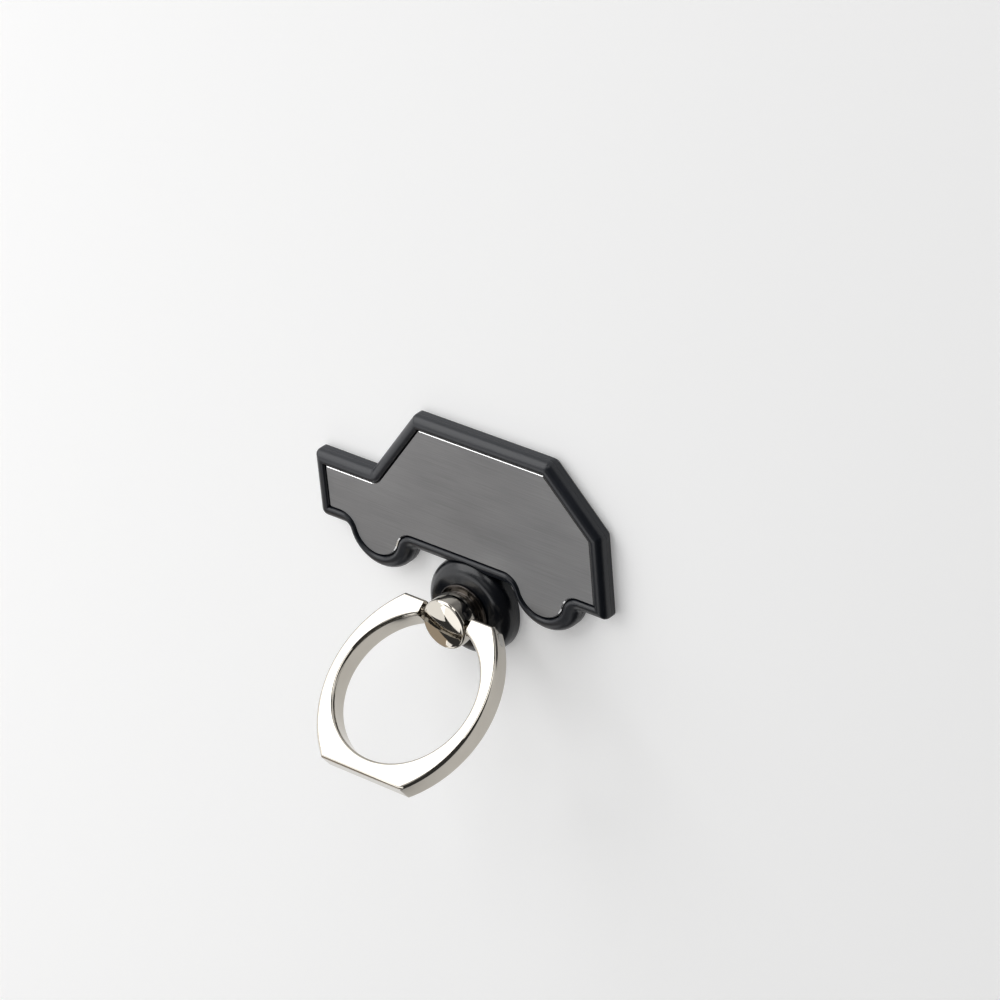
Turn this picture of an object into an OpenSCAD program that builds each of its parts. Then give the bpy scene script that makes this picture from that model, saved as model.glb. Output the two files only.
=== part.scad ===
// Stick-on finger ring and stand for a phone, with a body in the shape of a small car.
// Units are millimetres. X runs along the car towards its rear, Y runs up to its roof and
// Z comes out of the face. The origin lies on the swivel's axis, in the adhesive back face.

/* [Car outline, outer edge of the casing] */
// Height of the sill's lower edge above the swivel axis
sill_y = 6.05; // [4:0.1:9]
// Height of the hood's top edge
hood_y = 16.55; // [14:0.1:19]
// Height of the roof's top edge
roof_y = 27.85; // [24:0.1:32]
// Front end at the level of the sill
front_x = -26.95; // [-30:0.1:-24]
// How far the front end leans forward at the level of the hood
front_lean = 0.6; // [0:0.1:2]
// Foot of the windscreen on the hood
screen_foot_x = -17.0; // [-19:0.1:-15]
// Top of the windscreen on the roof
screen_top_x = -8.75; // [-12:0.1:-6]
// Rear end of the roof
roof_end_x = 15.1; // [12:0.1:18]
// Shoulder where the slanted tail meets the upright rear
shoulder_x = 23.85; // [22:0.1:27]
// Height of that shoulder
shoulder_y = 18.9; // [16:0.1:22]
// Rear end at the level of the sill
rear_x = 24.4; // [23:0.1:28]
// Place of the front wheel along the car
front_wheel_x = -15.9; // [-18:0.1:-14]
// Place of the rear wheel along the car
rear_wheel_x = 13.65; // [12:0.05:15]
// Height of both wheel centres
wheel_y = 6.95; // [6.5:0.05:8.5]
// Radius of the wheel bumps
wheel_r = 5.9; // [5:0.1:6.5]
// How far forward the wheel bumps move for each unit that the outline is drawn in
wheel_lean = 0.325; // [0:0.025:0.4]
// Radius of the fillets between the wheel bumps and the sill
wheel_fillet_r = 0.8; // [0.3:0.1:1]
// Radius of the sharper outer corners
corner_r = 0.7; // [0.3:0.1:3]
// Radius of the outer corners at the foot of the nose, the end of the roof and the shoulder
wide_corner_r = 1.3; // [0.3:0.1:3]
// Radius in the inner corner at the foot of the windscreen
notch_r = 0.3; // [0.2:0.1:1]

/* [Casing] */
// Height of the casing's crest above the back plate
casing_h = 1.6; // [1.5:0.1:2.5]
// Radius that rounds the casing over from its side to its face
round_r = 1.4; // [0.8:0.1:1.4]
// Width of the lip from the outer edge to its inner wall
lip_w = 1.8; // [1.6:0.1:2.2]
// Radius of the lip's inner edge
lip_inner_r = 0.4; // [0.2:0.1:0.5]
// Small bevel that makes the seam line against the back plate
seam_bevel = 0.12; // [0.05:0.01:0.2]

/* [Face plate] */
// Thickness of the brushed plate
plate_t = 0.8; // [0.5:0.1:1]
// Bright bevel round its front edge
plate_bevel = 0.2; // [0.1:0.05:0.3]
// Groove between the plate and the lip
groove = 0.2; // [0.1:0.05:0.4]
// Thickness of the tape under the plate
tape_t = 0.1; // [0.05:0.05:0.2]
// Margin of the tape inside the plate's edge
tape_margin = 0.3; // [0.1:0.05:0.35]

/* [Back] */
// Thickness of the adhesive foam pad
pad_t = 0.5; // [0.4:0.1:1]
// Margin of the pad inside the back plate's edge
pad_margin = 0.4; // [0.2:0.1:1]
// Thickness of the back plate
base_t = 0.9; // [0.8:0.1:1.2]
// Height of the raised land on the back plate that carries the face plate
land_h = 0.35; // [0.2:0.05:0.5]
// Gap between that land and the casing round it
land_gap = 0.05; // [0.02:0.01:0.1]

/* [Swivel] */
// How far the round boss, centred on the swivel axis, reaches over the sill's lower edge
boss_overlap = 1.3; // [1.1:0.1:1.6]
// Height of the boss above the back plate
boss_h = 2.4; // [2.3:0.1:3]
// Radius that rounds the boss over
boss_round_r = 2.1; // [1:0.1:2.2]
// Rise of the boss's top between its rounding and the flange
boss_dome = 0.12; // [0:0.01:0.3]
// Gap between the boss and the casing's notch round it
boss_gap = 0.05; // [0.02:0.01:0.1]
// Thickness of the boss's web, which the post passes through
web_t = 1.45; // [1:0.05:1.6]
// Wall of the boss round the pocket that holds the washers
boss_wall = 2.4; // [2:0.1:2.6]
// Radius of the post's shank
shank_r = 2; // [1.8:0.1:2.4]
// Running clearance of the shank, on the radius
shank_gap = 0.05; // [0.02:0.01:0.1]
// Gap between flat faces that turn on each other
face_gap = 0.05; // [0.02:0.01:0.1]
// Thickness of the friction washer
friction_t = 0.3; // [0.2:0.05:0.4]
// Thickness of the spring washer's steel
spring_t = 0.3; // [0.2:0.05:0.3]
// How far the spring washer is dished
spring_rise = 0.25; // [0.1:0.05:0.3]
// Thickness of the retaining washer
retainer_t = 0.5; // [0.4:0.05:0.6]
// Gap round the three washers in their pocket
washer_gap = 0.5; // [0.3:0.1:0.8]
// Radius of the riveted end below the retaining washer
rivet_r = 2.7; // [2.5:0.1:3]
// Height of that riveted end
rivet_h = 0.2; // [0.15:0.05:0.3]

/* [Post] */
// Radius of the flange on the boss
flange_r = 4.2; // [3.9:0.1:4.8]
// Thickness of the flange
flange_t = 0.35; // [0.3:0.05:0.6]
// Rounding of the flange's two edges
flange_edge_r = 0.1; // [0.05:0.01:0.14]
// Fillet between the flange and the waist
waist_fillet_r = 0.2; // [0.1:0.05:0.4]
// Radius of the waist
waist_r = 3.1; // [2.6:0.1:3.4]
// Radius of the head
head_r = 3.8; // [3.6:0.1:4.2]
// Height of the head's full-width part above the hinge and below it
head_half_h = 1.15; // [1.1:0.05:1.6]
// Rounding of the head's front edge
head_round_r = 0.5; // [0.1:0.05:0.6]
// Rise of the domed front
head_dome = 0.45; // [0:0.05:0.6]
// Height of the hinge pin's axis above the adhesive face
hinge_z = 6.85; // [6.6:0.05:7.5]

/* [Ring] */
// Angle between the ring and the phone as modelled, 0 is folded down
ring_angle = 52; // [0:1:180]
// Radius of the finger hole
hole_r = 11.15; // [10:0.05:13]
// Distance of the hole's centre from the hinge
hole_reach = 11.6; // [11.3:0.05:14]
// Radius of the two side arcs
side_r = 17.9; // [16:0.1:20]
// Width of the ring's band at its sides
side_w = 2.1; // [1.8:0.1:3]
// Width of the ring's band at its flat foot
foot_w = 2.35; // [1.8:0.05:4]
// How far the cut tips reach past the hinge
tip_reach = 1.1; // [1:0.1:1.5]
// Thickness of the ring
ring_t = 3.6; // [3:0.1:4]
// Rounding of the ring's edges
ring_edge_r = 0.55; // [0.2:0.05:0.7]
// Gap between each tip and the post's head
tip_gap = 0.5; // [0.3:0.05:1]
// Radius of the hinge pin
pin_r = 0.75; // [0.6:0.05:0.9]
// Half of the pin's length
pin_half = 8.4; // [7.5:0.1:8.6]
// Clearance of the pin pressed in the tips, on the radius
press_gap = 0.01; // [0:0.01:0.02]
// Running clearance of the pin in the post, on the radius
pin_gap = 0.05; // [0.02:0.01:0.1]

/* [Hidden] */
$fn = 96;
round_steps = 6;
edge_steps = 4;
wheel_steps = 20;
corner_steps = 6;
notch_steps = 12;
dome_steps = 6;
sharpest_r = 0.12;
// How far a cut runs past the faces it opens
past = 1;

// Sizes that follow from the ones above
boss_r = sill_y + boss_overlap;
pocket_r = boss_r - boss_wall;
washer_r = pocket_r - washer_gap;
half_width = hole_r + side_w;
foot_reach = hole_reach + hole_r + foot_w;
plate_inset = lip_w + groove;

// Levels, from the adhesive face upwards
base_z = pad_t;
casing_z = base_z + base_t;
crest_z = casing_z + casing_h;
land_z = casing_z + land_h;
plate_z = land_z + tape_t;
boss_top = casing_z + boss_h;
web_z = boss_top - web_t;
friction_z = web_z - friction_t;
spring_z = friction_z - face_gap - spring_t - spring_rise;
retainer_z = spring_z - retainer_t;
flange_z = boss_top + face_gap;
head_top = hinge_z + head_half_h + head_round_r;

// Outline of the car, drawn in by a distance. Outer corners turn left and their radius
// shrinks as the outline is drawn in, down to the sharpest one. Inner corners turn right and
// their radius grows.
function unit(v) = v / norm(v);
function turn(u, v) = atan2(u.x * v.y - u.y * v.x, u * v);
function arc(centre, r, start, sweep, steps) = [
    for (i = [0 : steps])
        let (angle = start + sweep * i / steps)
        centre + r * [cos(angle), sin(angle)]
];
function corner(a, p, b, r, inset) =
    let (u = unit(p - a), v = unit(b - p), t = turn(u, v), s = sign(t))
    let (left_u = [-u.y, u.x], left_v = [-v.y, v.x], rr = max(r - s * inset, sharpest_r))
    let (q = p + inset * (left_u + left_v) / (1 + left_u * left_v))
    let (centre = q - u * rr * tan(abs(t) / 2) + left_u * s * rr)
    arc(centre, rr, atan2(-s * left_u.y, -s * left_u.x), t, corner_steps);

// One wheel bump: a fillet, the round of the wheel and a second fillet.
fillet_y = sill_y - wheel_fillet_r;
wheel_half = sqrt(pow(wheel_r + wheel_fillet_r, 2) - pow(wheel_y - fillet_y, 2));
wheel_tilt = atan2(wheel_y - fillet_y, wheel_half);
function wheel(wheel_x, inset) =
    let (x = wheel_x - wheel_lean * inset, fillet_r = wheel_fillet_r + inset)
    concat(
        arc([x - wheel_half, fillet_y], fillet_r, 90, wheel_tilt - 90, corner_steps),
        arc([x, wheel_y], wheel_r - inset, 180 + wheel_tilt, 180 - 2 * wheel_tilt,
            wheel_steps),
        arc([x + wheel_half, fillet_y], fillet_r, 180 - wheel_tilt, wheel_tilt - 90,
            corner_steps)
    );

nose_low = [front_x, sill_y];
nose_high = [front_x - front_lean, hood_y];
screen_foot = [screen_foot_x, hood_y];
screen_top = [screen_top_x, roof_y];
roof_end = [roof_end_x, roof_y];
shoulder = [shoulder_x, shoulder_y];
rear_low = [rear_x, sill_y];

// The stretch of the sill that makes room for the boss: an arc round it where the sill,
// drawn in by a distance, still crosses the boss, and else a short straight line.
function boss_notch(inset) =
    let (y = sill_y + inset, r = boss_r + boss_gap, half = y < r ? acos(y / r) : 0)
    [
        for (i = [0 : notch_steps])
            let (share = 1 - 2 * i / notch_steps)
            half > 0 ? r * [-sin(half * share), cos(half * share)] : [-share, y]
    ];

// The whole outline. It has the same number of points for every distance, so outlines at
// different heights can be lofted.
function outline(inset, notched) = concat(
    corner(nose_high, nose_low, rear_low, wide_corner_r, inset),
    wheel(front_wheel_x, inset),
    notched ? boss_notch(inset) : [],
    wheel(rear_wheel_x, inset),
    corner(nose_low, rear_low, shoulder, corner_r, inset),
    corner(rear_low, shoulder, roof_end, wide_corner_r, inset),
    corner(shoulder, roof_end, screen_top, wide_corner_r, inset),
    corner(roof_end, screen_top, screen_foot, corner_r, inset),
    corner(screen_top, screen_foot, nose_high, notch_r, inset),
    corner(screen_foot, nose_high, nose_low, corner_r, inset)
);

// Points of the outline at each [inset, height] pair of a profile, and the faces between
// one such ring of points and the next, which wraps round to the first.
function rings(profile, notched) = [
    for (p = profile, q = outline(p[0], notched)) [q.x, q.y, p[1]]
];
function ring_sides(n, low, high) = [
    for (i = [0 : n - 1])
        [low * n + i, high * n + i, high * n + (i + 1) % n, low * n + (i + 1) % n]
];

// A frame lofted through the outline, from a closed profile going up the outside and down
// the inside.
module lofted_frame(profile, notched) {
    n = len(outline(0, notched));
    count = len(profile);
    faces = [for (j = [0 : count - 1]) each ring_sides(n, j, (j + 1) % count)];
    polyhedron(rings(profile, notched), faces, convexity = 10);
}

// Faces that close a ring of points starting at index first. The car's body is a fan of
// triangles about a hub inside it, and each wheel bump is the round of the wheel and a
// ladder of strips between its two fillets.
function bump_faces(start) =
    let (k = corner_steps, round = start + k + 1, back = round + wheel_steps + 1)
    concat(
        [[for (i = [0 : wheel_steps]) round + i]],
        [
            for (i = [0 : k])
                let (right = back + k - i, next = i < k ? start + i + 1 : round)
                [start + i, next, i < k ? right - 1 : round + wheel_steps, right]
        ]
    );
bump_len = 2 * corner_steps + wheel_steps + 3;
function cap(first, hub, n) =
    let (a = corner_steps + 1, b = a + bump_len, c = b + bump_len)
    let (body = [for (i = [0 : n - 1]) if (i <= a || i == b - 1 || i == b || i >= c - 1) i])
    concat(
        [for (i = [0 : len(body) - 1]) [hub, first + body[i], first + body[(i + 1) % len(body)]]],
        [for (f = concat(bump_faces(a), bump_faces(b))) [for (v = f) first + v]]
    );
function reversed(face) = [for (i = [len(face) - 1 : -1 : 0]) face[i]];

// A solid lofted through the outline, from a profile going up the outside.
module lofted_solid(profile) {
    n = len(outline(0, false));
    last = len(profile) - 1;
    hub = [(screen_foot_x + screen_top_x) / 2, (sill_y + hood_y) / 2];
    hubs = [[hub.x, hub.y, profile[0][1]], [hub.x, hub.y, profile[last][1]]];
    sides = [for (j = [0 : last - 1]) each ring_sides(n, j, j + 1)];
    bottom = cap(0, n * (last + 1), n);
    top = [for (f = cap(n * last, n * (last + 1) + 1, n)) reversed(f)];
    polyhedron(concat(rings(profile, false), hubs), concat(sides, bottom, top), convexity = 10);
}

// A quarter round of [across, up] pairs about a centre, from one angle to another.
function quarter(across, up, r, from, to, steps) = [
    for (i = [0 : steps])
        let (angle = from + (to - from) * i / steps)
        [across + r * cos(angle), up + r * sin(angle)]
];

module slab(inset, z, t) {
    translate([0, 0, z])
        linear_extrude(t)
            polygon(outline(inset, false));
}

module ring_hinge() {
    translate([0, 0, hinge_z])
        rotate([-ring_angle, 0, 0])
            children();
}

/* Adhesive foam pad over the whole back, lug included */
module adhesive_pad() {
    color("dimgray") {
        union() {
            slab(pad_margin, 0, pad_t);
            cylinder(r = boss_r - pad_margin, h = pad_t);
        }
    }
}

/* Thin black back plate: a raised land for the face plate, a round lug below the sill and an
   open pocket for the washers */
module base_plate() {
    color("#16181c") {
        difference() {
            union() {
                slab(0, base_z, base_t);
                slab(lip_w + land_gap, casing_z, land_h);
                translate([0, 0, base_z])
                    cylinder(r = boss_r, h = base_t);
            }
            translate([0, 0, base_z - past])
                cylinder(r = pocket_r, h = base_t + 2 * past);
        }
    }
}

/* Casing: a rounded frame round the face plate, notched for the boss */
module casing() {
    inner = quarter(lip_w - lip_inner_r, crest_z - lip_inner_r, lip_inner_r, 90, 0,
        edge_steps);
    profile = concat(
        [[seam_bevel, casing_z], [0, casing_z + seam_bevel]],
        quarter(round_r, crest_z - round_r, round_r, 180, 90, round_steps),
        inner,
        [[lip_w, casing_z]]
    );
    color("#1b1d22") {
        lofted_frame(profile, true);
    }
}

/* Double-sided tape between the back plate's land and the face plate */
module face_tape() {
    color("gainsboro") {
        slab(plate_inset + tape_margin, land_z, tape_t);
    }
}

/* Brushed face plate with a bright bevelled edge */
module face_plate() {
    color("silver") {
        lofted_solid([
            [plate_inset, plate_z],
            [plate_inset, plate_z + plate_t - plate_bevel],
            [plate_inset + plate_bevel, plate_z + plate_t],
        ]);
    }
}

/* Round domed boss that carries the swivel, hollow below its web */
module swivel_boss() {
    rim_r = boss_r - boss_round_r;
    rim_z = boss_top - boss_dome;
    color("#101216") {
        rotate_extrude() {
            polygon(concat(
                [[pocket_r, casing_z], [boss_r, casing_z]],
                quarter(rim_r, rim_z - boss_round_r, boss_round_r, 0, 90, 10),
                [
                    [flange_r, boss_top],
                    [shank_r + shank_gap, boss_top],
                    [shank_r + shank_gap, web_z],
                    [pocket_r, web_z],
                ]
            ));
        }
    }
}

/* Chrome spool: shank, flange, waist and domed head in one, bored for the hinge pin */
module swivel_post() {
    rim_r = flange_r - flange_edge_r;
    waist_z = flange_z + flange_t;
    neck_z = hinge_z - head_half_h;
    flare = head_r - waist_r;
    dome_r = head_r - head_round_r;
    color("silver") {
        difference() {
            rotate_extrude() {
                polygon(concat(
                    [[0, retainer_z - rivet_h], [rivet_r - rivet_h / 2, retainer_z - rivet_h]],
                    [[rivet_r, retainer_z - rivet_h / 2], [rivet_r, retainer_z]],
                    [[shank_r, retainer_z], [shank_r, flange_z]],
                    quarter(rim_r, flange_z + flange_edge_r, flange_edge_r, -90, 0, 4),
                    quarter(rim_r, waist_z - flange_edge_r, flange_edge_r, 0, 90, 4),
                    quarter(waist_r + waist_fillet_r, waist_z + waist_fillet_r,
                        waist_fillet_r, -90, -180, 5),
                    quarter(head_r - flare, neck_z, flare, -60, 0, 5),
                    quarter(dome_r, head_top - head_round_r, head_round_r, 0, 75, 4),
                    [
                        for (i = [0 : dome_steps])
                            let (share = 1 - i / dome_steps)
                            [dome_r * share, head_top + head_dome * (1 - share * share)]
                    ]
                ));
            }
            translate([0, 0, hinge_z])
                rotate([0, 90, 0])
                    cylinder(r = pin_r + pin_gap, h = 2 * (head_r + past), center = true);
        }
    }
}

/* Washer of soft plastic that the swivel rubs on */
module friction_washer() {
    color("ivory") {
        translate([0, 0, friction_z]) {
            difference() {
                cylinder(r = washer_r, h = friction_t);
                translate([0, 0, -past])
                    cylinder(r = shank_r + 2 * shank_gap, h = friction_t + 2 * past);
            }
        }
    }
}

/* Dished spring washer, standing on the retaining washer */
module spring_washer() {
    bore_r = shank_r + 2 * shank_gap;
    color("darkgray") {
        rotate_extrude() {
            polygon([
                [bore_r, spring_z],
                [washer_r, spring_z + spring_rise],
                [washer_r, spring_z + spring_rise + spring_t],
                [bore_r, spring_z + spring_t],
            ]);
        }
    }
}

/* Steel washer held by the riveted end of the post */
module retaining_washer() {
    color("gray") {
        translate([0, 0, retainer_z]) {
            difference() {
                cylinder(r = washer_r, h = retainer_t);
                translate([0, 0, -past])
                    cylinder(r = shank_r, h = retainer_t + 2 * past);
            }
        }
    }
}

// A disc with rounded edges, lying about the ring's middle plane.
module round_edged_disc(r) {
    half = ring_t / 2;
    e = ring_edge_r;
    rotate_extrude() {
        polygon(concat(
            [[0, -half]],
            quarter(r - e, e - half, e, -90, 0, edge_steps),
            quarter(r - e, half - e, e, 0, 90, edge_steps),
            [[0, half]]
        ));
    }
}

// A bar along X with rounded edges, from one Y to another.
module round_edged_bar(y0, y1) {
    half = ring_t / 2;
    e = ring_edge_r;
    rotate([90, 0, 90]) {
        linear_extrude(2 * side_r, center = true) {
            polygon(concat(
                quarter(y1 - e, e - half, e, -90, 0, edge_steps),
                quarter(y1 - e, half - e, e, 0, 90, edge_steps),
                quarter(y0 + e, half - e, e, 90, 180, edge_steps),
                quarter(y0 + e, e - half, e, 180, 270, edge_steps)
            ));
        }
    }
}

// The finger hole as a solid to cut away, flared at both faces by the edge rounding.
module finger_hole() {
    half = ring_t / 2;
    e = ring_edge_r;
    rotate_extrude() {
        polygon(concat(
            [[0, -half - past], [hole_r + e, -half - past]],
            quarter(hole_r + e, e - half, e, 270, 180, edge_steps),
            quarter(hole_r + e, half - e, e, 180, 90, edge_steps),
            [[hole_r + e, half + past], [0, half + past]]
        ));
    }
}

/* Chrome ring: two side arcs, a flat foot, a round hole and two cut tips at the hinge */
module ring() {
    side_offset = side_r - half_width;
    color("silver") {
        ring_hinge() {
            difference() {
                intersection() {
                    translate([side_offset, -hole_reach, 0])
                        round_edged_disc(side_r);
                    translate([-side_offset, -hole_reach, 0])
                        round_edged_disc(side_r);
                    round_edged_bar(-foot_reach, tip_reach);
                }
                translate([0, -hole_reach, 0])
                    finger_hole();
                translate([-head_r - tip_gap, -hole_reach, -ring_t])
                    cube([2 * (head_r + tip_gap), hole_reach + 2 * tip_reach, 2 * ring_t]);
                rotate([0, 90, 0])
                    cylinder(r = pin_r + press_gap, h = 2 * side_r, center = true, $fn = 48);
            }
        }
    }
}

/* Steel pin through both tips and the post's head */
module hinge_pin() {
    color("lightgray") {
        ring_hinge() {
            rotate([0, 90, 0])
                cylinder(r = pin_r, h = 2 * pin_half, center = true, $fn = 48);
        }
    }
}

adhesive_pad();
base_plate();
casing();
face_tape();
face_plate();
swivel_boss();
friction_washer();
spring_washer();
retaining_washer();
swivel_post();
ring();
hinge_pin();
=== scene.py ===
import bpy
import math
from mathutils import Matrix, Vector


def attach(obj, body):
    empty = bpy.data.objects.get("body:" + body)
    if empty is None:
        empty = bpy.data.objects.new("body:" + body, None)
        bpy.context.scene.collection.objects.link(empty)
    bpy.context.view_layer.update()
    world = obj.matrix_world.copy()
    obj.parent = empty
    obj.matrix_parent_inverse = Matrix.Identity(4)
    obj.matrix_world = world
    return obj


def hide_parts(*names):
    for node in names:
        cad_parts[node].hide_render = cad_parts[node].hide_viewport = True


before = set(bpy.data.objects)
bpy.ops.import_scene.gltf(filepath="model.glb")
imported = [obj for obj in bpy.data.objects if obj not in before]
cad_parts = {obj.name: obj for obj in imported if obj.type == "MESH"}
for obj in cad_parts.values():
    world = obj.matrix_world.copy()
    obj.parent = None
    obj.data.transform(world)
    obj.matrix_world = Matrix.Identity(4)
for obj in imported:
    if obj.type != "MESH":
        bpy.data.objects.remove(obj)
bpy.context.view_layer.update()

# Back plate: the thin black plate that carries everything, with a round lug below the sill
# and a pocket for the washers. Injection moulded in ABS with a fine spark-eroded grain.
mm = 0.001
merge_distance = 0.002 * mm
flat_within = math.radians(0.4)
round_above = math.radians(50)
smooth_below = math.radians(38)
plate_rounding = 0.02 * mm


def worked_copy(node, name):
    """A copy of a CAD node's mesh, merged and freed of the lines between flat triangles."""
    bpy.ops.object.select_all(action="DESELECT")
    piece = bpy.data.objects.new(name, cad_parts[node].data.copy())
    bpy.context.scene.collection.objects.link(piece)
    piece.data.materials.clear()
    bpy.context.view_layer.objects.active = piece
    piece.select_set(True)
    bpy.ops.object.mode_set(mode="EDIT")
    bpy.ops.mesh.select_all(action="SELECT")
    bpy.ops.mesh.customdata_custom_splitnormals_clear()
    bpy.ops.mesh.remove_doubles(threshold=merge_distance)
    bpy.ops.mesh.dissolve_limited(angle_limit=flat_within)
    bpy.ops.object.mode_set(mode="OBJECT")
    return piece


def soften_edges(piece, width):
    """Rounds the sharp edges of the piece that was copied last, and shades it smooth."""
    bevel = piece.modifiers.new("edge rounding", "BEVEL")
    bevel.width = width
    bevel.segments = 2
    bevel.limit_method = "ANGLE"
    bevel.angle_limit = round_above
    bevel.miter_outer = "MITER_ARC"
    bevel.use_clamp_overlap = True
    bpy.ops.object.modifier_apply(modifier=bevel.name)
    bpy.ops.object.shade_smooth_by_angle(angle=smooth_below)
    weighted = piece.modifiers.new("flat faces stay flat", "WEIGHTED_NORMAL")
    weighted.keep_sharp = True
    weighted.weight = 60
    bpy.ops.object.modifier_apply(modifier=weighted.name)


def set_values(node, **values):
    """Sets a node's sockets by name, with an underscore for each space in a name."""
    for label, value in values.items():
        node.inputs[label.replace("_", " ")].default_value = value


def surface_group(name, inputs):
    """An empty node group with named inputs, that puts out colour, roughness and normal."""
    group = bpy.data.node_groups.new(name, "ShaderNodeTree")
    for label, value in inputs.items():
        kind = "NodeSocketColor" if isinstance(value, tuple) else "NodeSocketFloat"
        socket = group.interface.new_socket(label, in_out="INPUT", socket_type=kind)
        socket.default_value = value
    for label, kind in (("Color", "NodeSocketColor"), ("Roughness", "NodeSocketFloat"),
                        ("Normal", "NodeSocketVector")):
        group.interface.new_socket(label, in_out="OUTPUT", socket_type=kind)
    return group, group.nodes.new("NodeGroupInput"), group.nodes.new("NodeGroupOutput")


def moulded_grain_group():
    """Fine spark-eroded grain and faint handling marks of a moulded plastic piece."""
    group, given, result = surface_group("moulded grain", {
        "Grain Scale": 5200.0,
        "Grain Depth": 0.1,
        "Roughness": 0.42,
        "Marks": 0.1,
        "Dark": (0.004, 0.005, 0.006, 1),
        "Light": (0.009, 0.010, 0.012, 1),
    })
    nodes, links = group.nodes, group.links
    place = nodes.new("ShaderNodeTexCoord")
    grain = nodes.new("ShaderNodeTexNoise")
    set_values(grain, Detail=4.0, Roughness=0.62)
    marks = nodes.new("ShaderNodeTexNoise")
    set_values(marks, Scale=210.0, Detail=5.0, Distortion=0.6)
    shade = nodes.new("ShaderNodeMix")
    shade.data_type = "RGBA"
    spread = nodes.new("ShaderNodeMath")
    spread.operation = "SUBTRACT"
    spread.inputs[1].default_value = 0.5
    rough = nodes.new("ShaderNodeMath")
    rough.operation = "MULTIPLY_ADD"
    bump = nodes.new("ShaderNodeBump")
    set_values(bump, Distance=0.02 * mm)
    links.new(place.outputs["Object"], grain.inputs["Vector"])
    links.new(place.outputs["Object"], marks.inputs["Vector"])
    links.new(given.outputs["Grain Scale"], grain.inputs["Scale"])
    links.new(marks.outputs["Fac"], shade.inputs["Factor"])
    links.new(given.outputs["Dark"], shade.inputs["A"])
    links.new(given.outputs["Light"], shade.inputs["B"])
    links.new(marks.outputs["Fac"], spread.inputs[0])
    links.new(spread.outputs["Value"], rough.inputs[0])
    links.new(given.outputs["Marks"], rough.inputs[1])
    links.new(given.outputs["Roughness"], rough.inputs[2])
    links.new(given.outputs["Grain Depth"], bump.inputs["Strength"])
    links.new(grain.outputs["Fac"], bump.inputs["Height"])
    links.new(shade.outputs["Result"], result.inputs["Color"])
    links.new(rough.outputs["Value"], result.inputs["Roughness"])
    links.new(bump.outputs["Normal"], result.inputs["Normal"])
    return group


def new_material(name):
    """A material with only its Principled shader and its output."""
    material = bpy.data.materials.new(name)
    material.use_nodes = True
    return material, material.node_tree.nodes["Principled BSDF"]


def finish(name, group, metallic=0.0, **values):
    """A material that takes its colour, roughness and normal from a node group."""
    material, shader = new_material(name)
    surface = material.node_tree.nodes.new("ShaderNodeGroup")
    surface.node_tree = group
    set_values(surface, **values)
    for label, socket in (("Color", "Base Color"), ("Roughness", "Roughness"),
                          ("Normal", "Normal")):
        material.node_tree.links.new(surface.outputs[label], shader.inputs[socket])
    set_values(shader, Metallic=metallic)
    return material


def finish_piece(piece, material, body, node):
    """Gives a piece its material and its body, and hides the CAD node that it stands for."""
    if material:
        piece.data.materials.append(material)
    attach(piece, body)
    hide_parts(node)


moulded_grain = moulded_grain_group()
satin_black = finish("satin black plastic", moulded_grain, Roughness=0.33, Grain_Depth=0.10,
                     Dark=(0.003, 0.0045, 0.008, 1), Light=(0.007, 0.009, 0.015, 1))
back_plate = worked_copy("base_plate", "back_plate")
soften_edges(back_plate, plate_rounding)
finish_piece(back_plate, satin_black, "holder", "base_plate")

# Casing: the rounded black frame round the face plate, moulded in the same satin ABS and
# bonded on the back plate, where a fine bevel leaves the seam line.
seam_slopes = (-0.9, -0.5)
same_height = 0.01 * mm
# The seam hardly shows on the real piece, so most of the solid's bevel is filled here.
seam_fill = 0.10 * mm


def sloped_faces(piece, slopes):
    """The faces whose normals rise between two limits, which picks out a bevel."""
    return [face for face in piece.data.polygons if slopes[0] < face.normal.z < slopes[1]]


def bevel_corners(piece, slopes):
    """The corners of a bevel's faces, each with its way outwards."""
    ways = {}
    for face in sloped_faces(piece, slopes):
        for index in face.vertices:
            ways.setdefault(index, Vector()).xy += face.normal.xy
    return [(piece.data.vertices[index], way.normalized()) for index, way in ways.items()]


casing = worked_copy("casing", "rounded_casing")
seam_z = min(vertex.co.z for vertex in casing.data.vertices)
for vertex, outward in bevel_corners(casing, seam_slopes):
    if vertex.co.z < seam_z + same_height:
        vertex.co += outward * seam_fill
bpy.ops.object.shade_smooth_by_angle(angle=smooth_below)
finish_piece(casing, satin_black, "holder", "casing")

# Tape: thin double-sided tissue tape, die cut a little smaller than the face plate, which it
# holds on the back plate's land.


def dress_node(node, material):
    """Gives a CAD node that stays in place its own material."""
    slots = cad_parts[node].data.materials
    slots.clear()
    slots.append(material)


tape_white, tape_shader = new_material("double-sided tape")
tape_nodes, tape_links = tape_white.node_tree.nodes, tape_white.node_tree.links
weave_place = tape_nodes.new("ShaderNodeTexCoord")
weave = tape_nodes.new("ShaderNodeTexNoise")
set_values(weave, Scale=3000.0)
weave_shade = tape_nodes.new("ShaderNodeMix")
weave_shade.data_type = "RGBA"
set_values(weave_shade, A=(0.70, 0.69, 0.64, 1), B=(0.82, 0.82, 0.79, 1))
tape_links.new(weave_place.outputs["Object"], weave.inputs["Vector"])
tape_links.new(weave.outputs["Fac"], weave_shade.inputs["Factor"])
tape_links.new(weave_shade.outputs["Result"], tape_shader.inputs["Base Color"])
set_values(tape_shader, Roughness=0.7)
dress_node("face_tape", tape_white)

# Face plate: anodised aluminium sheet, brushed along the car, its edge cut to a bright
# bevel after the brushing.
bevel_slopes = (0.2, 0.95)
# The bright line on the real plate is finer than the solid's bevel.
bevel_narrowing = 0.09 * mm


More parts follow.
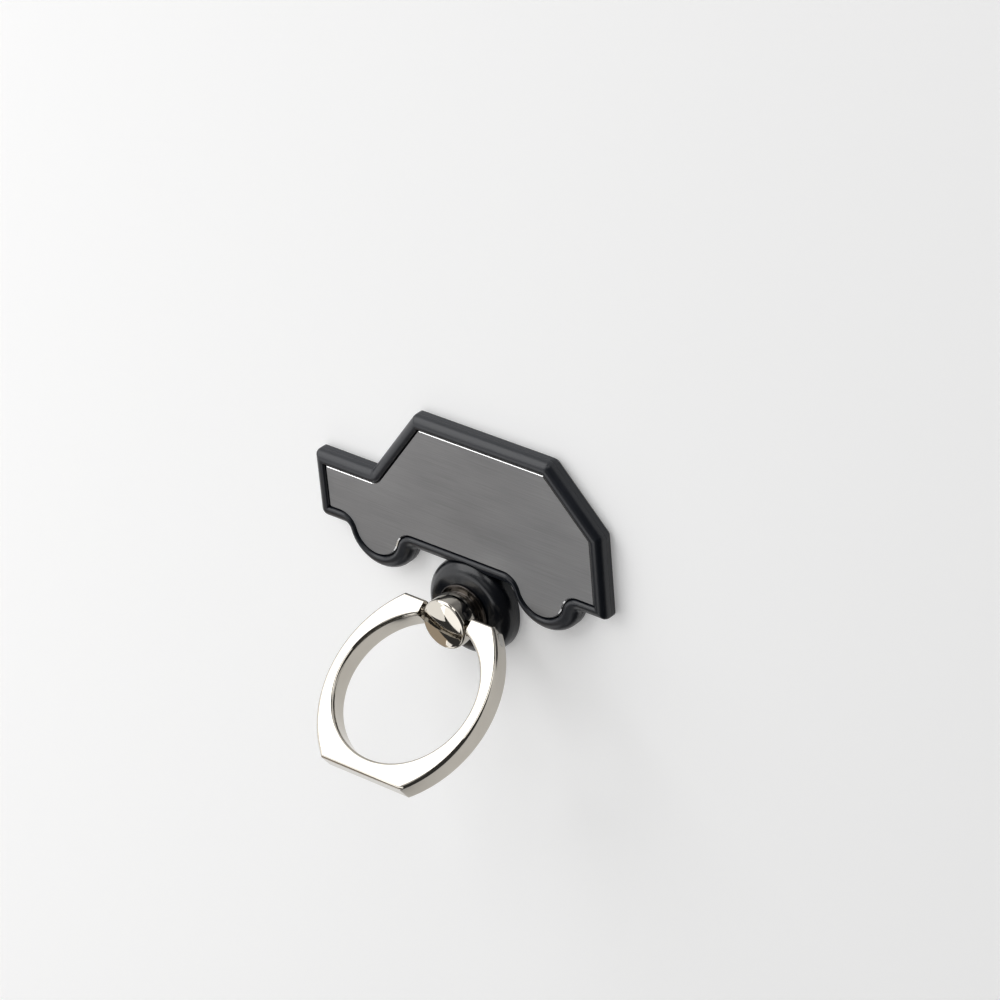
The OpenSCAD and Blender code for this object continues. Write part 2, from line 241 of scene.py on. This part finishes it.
def brush_lines_group():
    """Long fine lines along X, as a brush leaves them on sheet metal."""
    group, given, result = surface_group("brush lines", {
        "Fineness": 9000.0,
        "Depth": 0.2,
        "Dark": (0.3, 0.3, 0.3, 1),
        "Light": (0.4, 0.4, 0.4, 1),
        "Roughness": 0.35,
    })
    nodes, links = group.nodes, group.links
    place = nodes.new("ShaderNodeTexCoord")
    stretch = nodes.new("ShaderNodeVectorMath")
    stretch.operation = "MULTIPLY"
    stretch.inputs[1].default_value = (0.012, 1.0, 1.0)
    lines = nodes.new("ShaderNodeTexNoise")
    set_values(lines, Detail=5.0, Roughness=0.7)
    drift = nodes.new("ShaderNodeTexNoise")
    set_values(drift, Scale=160.0, Detail=4.0)
    drift_stretch = nodes.new("ShaderNodeVectorMath")
    drift_stretch.operation = "MULTIPLY"
    drift_stretch.inputs[1].default_value = (0.35, 1.0, 1.0)
    both = nodes.new("ShaderNodeMix")
    both.data_type = "FLOAT"
    set_values(both, Factor=0.45)
    contrast = nodes.new("ShaderNodeMapRange")
    set_values(contrast, From_Min=0.30, From_Max=0.70)
    shade = nodes.new("ShaderNodeMix")
    shade.data_type = "RGBA"
    rough = nodes.new("ShaderNodeMath")
    rough.operation = "MULTIPLY_ADD"
    rough.inputs[1].default_value = 0.12
    bump = nodes.new("ShaderNodeBump")
    set_values(bump, Distance=0.01 * mm)
    links.new(place.outputs["Object"], stretch.inputs[0])
    links.new(place.outputs["Object"], drift_stretch.inputs[0])
    links.new(stretch.outputs["Vector"], lines.inputs["Vector"])
    links.new(drift_stretch.outputs["Vector"], drift.inputs["Vector"])
    links.new(given.outputs["Fineness"], lines.inputs["Scale"])
    links.new(lines.outputs["Fac"], both.inputs["A"])
    links.new(drift.outputs["Fac"], both.inputs["B"])
    links.new(both.outputs["Result"], contrast.inputs["Value"])
    links.new(contrast.outputs["Result"], shade.inputs["Factor"])
    links.new(given.outputs["Dark"], shade.inputs["A"])
    links.new(given.outputs["Light"], shade.inputs["B"])
    links.new(lines.outputs["Fac"], rough.inputs[0])
    links.new(given.outputs["Roughness"], rough.inputs[2])
    links.new(given.outputs["Depth"], bump.inputs["Strength"])
    links.new(lines.outputs["Fac"], bump.inputs["Height"])
    links.new(shade.outputs["Result"], result.inputs["Color"])
    links.new(rough.outputs["Value"], result.inputs["Roughness"])
    links.new(bump.outputs["Normal"], result.inputs["Normal"])
    return group


brush_lines = brush_lines_group()
brushed_grey = finish("brushed gunmetal aluminium", brush_lines, metallic=1.0, Roughness=0.40,
                      Depth=0.30, Dark=(0.215, 0.215, 0.22, 1), Light=(0.335, 0.335, 0.34, 1))
bright_bevel = finish("bright cut bevel", brush_lines, metallic=1.0, Roughness=0.08,
                      Depth=0.05, Dark=(0.80, 0.80, 0.80, 1), Light=(0.90, 0.90, 0.90, 1))
plate = worked_copy("face_plate", "brushed_plate")
plate.data.materials.append(brushed_grey)
plate.data.materials.append(bright_bevel)
plate_top = max(vertex.co.z for vertex in plate.data.vertices)
for face in sloped_faces(plate, bevel_slopes):
    face.material_index = 1
for vertex, outward in bevel_corners(plate, bevel_slopes):
    if vertex.co.z > plate_top - same_height:
        vertex.co += outward * bevel_narrowing
    else:
        vertex.co.z += bevel_narrowing
finish_piece(plate, None, "holder", "face_plate")

# Swivel boss: a domed black plastic turning, smoother than the casing, bonded on the lug.
# The post turns in its web.
gloss_black = finish("semi-gloss black plastic", moulded_grain, Roughness=0.24,
                     Grain_Depth=0.04, Dark=(0.003, 0.004, 0.006, 1),
                     Light=(0.006, 0.007, 0.010, 1))
boss = worked_copy("swivel_boss", "domed_boss")
bpy.ops.object.shade_smooth_by_angle(angle=smooth_below)
finish_piece(boss, gloss_black, "holder", "swivel_boss")

# Washers under the web: a natural nylon disc, a dished spring steel washer and a plain
# steel washer that the riveted post holds.
nylon = finish("natural nylon", moulded_grain, Roughness=0.45, Grain_Depth=0.05,
               Dark=(0.62, 0.60, 0.54, 1), Light=(0.72, 0.70, 0.64, 1))
spring_steel = finish("spring steel", brush_lines, metallic=1.0, Roughness=0.30, Depth=0.1,
                      Dark=(0.33, 0.33, 0.34, 1), Light=(0.46, 0.46, 0.47, 1))
plain_steel = finish("plain steel", brush_lines, metallic=1.0, Roughness=0.28, Depth=0.1,
                     Dark=(0.42, 0.42, 0.41, 1), Light=(0.56, 0.56, 0.55, 1))
dress_node("friction_washer", nylon)
dress_node("spring_washer", spring_steel)
dress_node("retaining_washer", plain_steel)

# Swivel post: a steel spool with a flange, a waist and a domed head, turned in one piece and
# riveted on the retaining washer. It is chrome plated. Its flange has a near-black metal
# colour, which is a painted dark reflection.
flange_r = 4.2 * mm
flange_rim = 0.15 * mm
waist_fillet = 0.22 * mm


def polish_group():
    """Fine hairlines and faint cloudiness of polished plating."""
    group, given, result = surface_group("polish", {
        "Clear": 0.04,
        "Cloudy": 0.12,
        "Tint A": (0.86, 0.83, 0.78, 1),
        "Tint B": (0.80, 0.76, 0.70, 1),
    })
    nodes, links = group.nodes, group.links
    place = nodes.new("ShaderNodeTexCoord")
    cloud = nodes.new("ShaderNodeTexNoise")
    set_values(cloud, Scale=320.0, Detail=5.0, Distortion=0.8)
    hairline = nodes.new("ShaderNodeTexNoise")
    set_values(hairline, Scale=4200.0, Detail=3.0)
    rough = nodes.new("ShaderNodeMapRange")
    set_values(rough, From_Min=0.42, From_Max=0.78)
    shade = nodes.new("ShaderNodeMix")
    shade.data_type = "RGBA"
    bump = nodes.new("ShaderNodeBump")
    set_values(bump, Strength=0.06, Distance=0.003 * mm)
    links.new(place.outputs["Object"], cloud.inputs["Vector"])
    links.new(place.outputs["Object"], hairline.inputs["Vector"])
    links.new(cloud.outputs["Fac"], rough.inputs["Value"])
    links.new(given.outputs["Clear"], rough.inputs["To Min"])
    links.new(given.outputs["Cloudy"], rough.inputs["To Max"])
    links.new(cloud.outputs["Fac"], shade.inputs["Factor"])
    links.new(given.outputs["Tint A"], shade.inputs["A"])
    links.new(given.outputs["Tint B"], shade.inputs["B"])
    links.new(hairline.outputs["Fac"], bump.inputs["Height"])
    links.new(shade.outputs["Result"], result.inputs["Color"])
    links.new(rough.outputs["Result"], result.inputs["Roughness"])
    links.new(bump.outputs["Normal"], result.inputs["Normal"])
    return group


polish = polish_group()
chrome = finish("nickel chrome plate", polish, metallic=1.0, Clear=0.03, Cloudy=0.09,
                Tint_A=(0.56, 0.53, 0.475, 1), Tint_B=(0.52, 0.485, 0.43, 1))
# The flange's near-black tint is a painted dark reflection, not a darker metal.
painted_dark_reflection = finish("burnished flange", polish, metallic=1.0, Clear=0.16, Cloudy=0.26,
                   Tint_A=(0.085, 0.075, 0.07, 1), Tint_B=(0.06, 0.054, 0.05, 1))
post = worked_copy("swivel_post", "spool_post")
post.data.materials.append(chrome)
post.data.materials.append(painted_dark_reflection)
flange_top = max(vertex.co.z for vertex in post.data.vertices
                 if vertex.co.xy.length > flange_r - flange_rim)
# The flange and its fillet faces take the painted dark reflection.
for face in post.data.polygons:
    if all(post.data.vertices[i].co.z < flange_top + waist_fillet for i in face.vertices):
        face.material_index = 1
bpy.ops.object.shade_smooth_by_angle(angle=smooth_below)
finish_piece(post, None, "swivel", "swivel_post")

# Ring: a zinc casting, polished and chrome plated, with a round finger hole, two side arcs,
# a flat foot to stand on, and two tips either side of the post's head.
ring_rounding = 0.10 * mm
ring = worked_copy("ring", "finger_ring_band")
soften_edges(ring, ring_rounding)
finish_piece(ring, chrome, "finger_ring", "ring")

# Hinge pin: drawn steel, left unplated and pressed in both tips, its ends ground flush with
# the ring's curved sides. The side arc and the fold are the solid ring's own.
side_arc_r = 17.9 * mm
side_arc_centre = -4.65 * mm
hinge_height = 6.85 * mm
hinge_to_hole = 11.6 * mm
fold = math.radians(52)
ring_way = Vector((0, -math.cos(fold), math.sin(fold)))
pin_rounding = 0.05 * mm
pin_steel = finish("ground pin steel", polish, metallic=1.0, Clear=0.12, Cloudy=0.22,
                   Tint_A=(0.50, 0.485, 0.455, 1), Tint_B=(0.44, 0.425, 0.395, 1))
pin = worked_copy("hinge_pin", "pressed_pin")
pin_end = max(vertex.co.x for vertex in pin.data.vertices)
for vertex in pin.data.vertices:
    if abs(vertex.co.x) > pin_end - same_height:
        along = Vector((0, vertex.co.y, vertex.co.z - hinge_height)).dot(ring_way)
        side = side_arc_centre + math.sqrt(side_arc_r ** 2 - (hinge_to_hole - along) ** 2)
        vertex.co.x = math.copysign(side, vertex.co.x)
soften_edges(pin, pin_rounding)
finish_piece(pin, pin_steel, "finger_ring", "hinge_pin")

# Adhesive pad: closed-cell foam with adhesive on both faces, die cut a little smaller than
# the back plate and stuck under it.
pad_rounding = 0.05 * mm
foam = finish("grey foam", moulded_grain, Roughness=0.85, Grain_Depth=0.6,
              Dark=(0.20, 0.21, 0.20, 1), Light=(0.28, 0.29, 0.28, 1))
pad = worked_copy("adhesive_pad", "foam_pad")
soften_edges(pad, pad_rounding)
finish_piece(pad, foam, "holder", "adhesive_pad")

# Floor: a plain white sheet, large enough to fill every view. It is lifted a little towards
# white where it is seen, and keeps its shadow.
floor_size = 20
floor_drop = 0.02 * mm
floor_lift = 0.24
bpy.ops.object.select_all(action="DESELECT")
bpy.ops.mesh.primitive_plane_add(size=floor_size, location=(0, 0, -floor_drop))
floor = bpy.context.object
floor.name = "floor"
floor_white, floor_shader = new_material("white floor")
floor_nodes, floor_links = floor_white.node_tree.nodes, floor_white.node_tree.links
set_values(floor_shader, Base_Color=(0.82, 0.82, 0.82, 1), Roughness=0.9,
           Specular_IOR_Level=0.1, Emission_Color=(1, 1, 1, 1))
paths = floor_nodes.new("ShaderNodeLightPath")
seen = floor_nodes.new("ShaderNodeMath")
seen.operation = "MAXIMUM"
seen_through = floor_nodes.new("ShaderNodeMath")
seen_through.operation = "MAXIMUM"
lift = floor_nodes.new("ShaderNodeMath")
lift.operation = "MULTIPLY"
lift.inputs[1].default_value = floor_lift
floor_links.new(paths.outputs["Is Camera Ray"], seen.inputs[0])
floor_links.new(paths.outputs["Is Glossy Ray"], seen.inputs[1])
floor_links.new(seen.outputs["Value"], seen_through.inputs[0])
floor_links.new(paths.outputs["Is Transmission Ray"], seen_through.inputs[1])
floor_links.new(seen_through.outputs["Value"], lift.inputs[0])
floor_links.new(lift.outputs["Value"], floor_shader.inputs["Emission Strength"])
floor.data.materials.append(floor_white)

# Studio light: a large soft box on the roof's side, one overhead and smaller cards round the
# piece, each written as the azimuths and elevations that it fills, in a dim grey room.
world = bpy.data.worlds.new("dim room")
bpy.context.scene.world = world
world.use_nodes = True
set_values(world.node_tree.nodes["Background"], Color=(0.05, 0.05, 0.05, 1), Strength=1.0)


def soft_box(name, azimuths, elevations, brightness, distance=0.9, tint=(1, 1, 1)):
    """A rectangular lamp that faces the object and fills the given angles, seen from it."""
    azimuth = math.radians(sum(azimuths) / 2)
    elevation = math.radians(sum(elevations) / 2)
    half_width = math.tan(math.radians(azimuths[1] - azimuths[0]) / 2) * math.cos(elevation)
    half_height = math.tan(math.radians(elevations[1] - elevations[0]) / 2)
    toward = Vector((math.cos(elevation) * math.cos(azimuth),
                     math.cos(elevation) * math.sin(azimuth),
                     math.sin(elevation)))
    lamp = bpy.data.lights.new(name, "AREA")
    lamp.shape = "RECTANGLE"
    lamp.size = 2 * half_width * distance
    lamp.size_y = 2 * half_height * distance
    lamp.energy = brightness * math.pi * lamp.size * lamp.size_y
    lamp.color = tint
    stand = bpy.data.objects.new(name, lamp)
    bpy.context.scene.collection.objects.link(stand)
    stand.location = toward * distance
    stand.rotation_euler = toward.to_track_quat("Z", "Y").to_euler()


soft_box("key box", (100, 150), (0, 54), 2.8)
soft_box("sweep card", (150, 208), (0, 18), 1.3)
soft_box("edge strip", (64, 82), (4, 38), 2.2)
soft_box("left card", (150, 210), (20, 60), 1.3, distance=0.45)
soft_box("overhead box", (177, 279), (58, 84), 1.7)
soft_box("far card", (262, 282), (20, 52), 0.8)
soft_box("ceiling card", (60, 120), (59, 76), 0.8)
soft_box("low card", (236, 250), (8, 30), 1.4)
soft_box("warm card", (211, 236), (6, 32), 0.45, tint=(1.0, 0.82, 0.62))

# Camera: a long lens about 0.65 m away, at the photograph's own angle. Its way right and its
# way back are written out, and its way up follows from them.
lens = bpy.data.cameras.new("camera")
lens.sensor_width = 36.0
lens.lens = 168.05
lens.clip_start = 0.01
lens.clip_end = 20.0
camera = bpy.data.objects.new("camera", lens)
bpy.context.scene.collection.objects.link(camera)
camera_place = (0.36388, 0.33936, 0.42468)
right = Vector((0.77772, -0.04132, -0.62725)).normalized()
back = Vector((0.55941, 0.50064, 0.66062)).normalized()
up = back.cross(right).normalized()
right = up.cross(back).normalized()
camera.matrix_world = Matrix([*zip(right, up, back, camera_place), (0, 0, 0, 1)])
bpy.context.scene.camera = camera
bpy.context.scene.view_settings.view_transform = "Standard"

bpy.context.view_layer.update()
